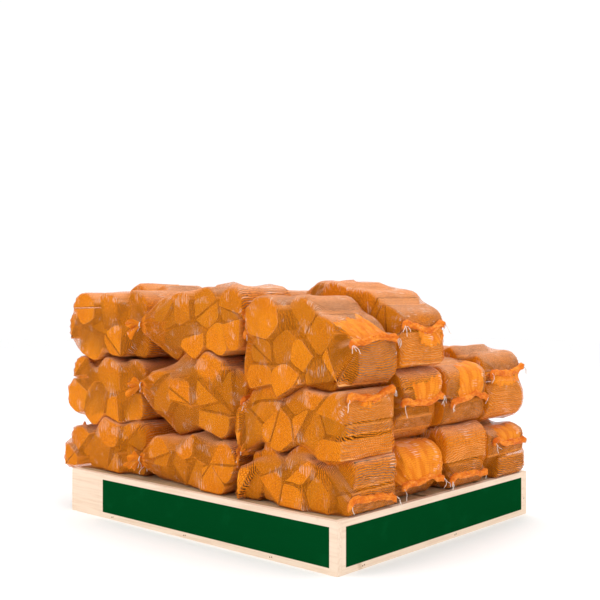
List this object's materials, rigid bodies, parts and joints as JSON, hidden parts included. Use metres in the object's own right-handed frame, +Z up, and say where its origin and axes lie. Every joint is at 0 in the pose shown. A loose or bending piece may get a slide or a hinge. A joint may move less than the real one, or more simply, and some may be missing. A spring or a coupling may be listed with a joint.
{
  "type": "pallet of netted beech logs",
  "caption": "Block pallet with a board round its sides, stacked with orange net bags of split beech logs, two and three bags high.",
  "frame": {"origin": "centre of the underside of the pallet's centre foot board, on the floor", "axes": "+X along the pallet's long side towards the bags' hems, -Y towards the face that shows the log ends, +Z up"},
  "size_m": [1.3616, 1.0467, 0.8183],
  "materials": {
    "netted_beech": "pale split beech seen through a fine orange knitted net",
    "beech_log": "sawn ends and split faces of dried beech, grey-brown smooth bark",
    "orange_net": "knitted polyethylene net with a sewn hem and a gathered neck",
    "pallet_wood": "rough sawn softwood",
    "surround_wood": "pale smooth spruce board with a deep green printed panel"
  },
  "bodies": {
    "root": {"pallet_foot_board_front": "pallet_wood", "pallet_foot_board_centre": "pallet_wood", "pallet_foot_board_back": "pallet_wood", "pallet_block_front_left": "pallet_wood", "pallet_block_front_centre": "pallet_wood", "pallet_block_front_right": "pallet_wood", "pallet_block_centre_left": "pallet_wood", "pallet_block_centre_centre": "pallet_wood", "pallet_block_centre_right": "pallet_wood", "pallet_block_back_left": "pallet_wood", "pallet_block_back_centre": "pallet_wood", "pallet_block_back_right": "pallet_wood", "pallet_stringer_left": "pallet_wood", "pallet_stringer_centre": "pallet_wood", "pallet_stringer_right": "pallet_wood", "pallet_deck_board_1": "pallet_wood", "pallet_deck_board_2": "pallet_wood", "pallet_deck_board_3": "pallet_wood", "pallet_deck_board_4": "pallet_wood", "pallet_deck_board_5": "pallet_wood", "pallet_deck_board_6": "pallet_wood", "pallet_deck_board_7": "pallet_wood", "surround_board_front": "surround_wood", "surround_board_back": "surround_wood", "surround_board_left": "surround_wood", "surround_board_right": "surround_wood", "log_net_row_1_bottom_left": "netted_beech", "log_net_row_1_bottom_middle": "netted_beech", "log_net_row_1_bottom_right": "netted_beech", "log_net_row_1_middle_left": "netted_beech", "log_net_row_1_middle_middle": "netted_beech", "log_net_row_1_middle_right": "netted_beech", "log_net_row_1_top_left": "netted_beech", "log_net_row_1_top_middle": "netted_beech", "log_net_row_1_top_right": "netted_beech", "log_net_row_2_bottom_left": "netted_beech", "log_net_row_2_bottom_middle": "netted_beech", "log_net_row_2_bottom_right": "netted_beech", "log_net_row_2_middle_left": "netted_beech", "log_net_row_2_middle_middle": "netted_beech", "log_net_row_2_middle_right": "netted_beech", "log_net_row_2_top_left": "netted_beech", "log_net_row_2_top_middle": "netted_beech", "log_net_row_2_top_right": "netted_beech", "log_net_row_3_bottom_left": "netted_beech", "log_net_row_3_bottom_middle": "netted_beech", "log_net_row_3_bottom_right": "netted_beech", "log_net_row_3_middle_left": "netted_beech", "log_net_row_3_middle_middle": "netted_beech", "log_net_row_3_middle_right": "netted_beech", "log_net_row_4_bottom_left": "netted_beech", "log_net_row_4_bottom_middle": "netted_beech", "log_net_row_4_bottom_right": "netted_beech", "log_net_row_4_middle_left": "netted_beech", "log_net_row_4_middle_middle": "netted_beech", "log_net_row_4_middle_right": "netted_beech"}
  },
  "joints": []
}
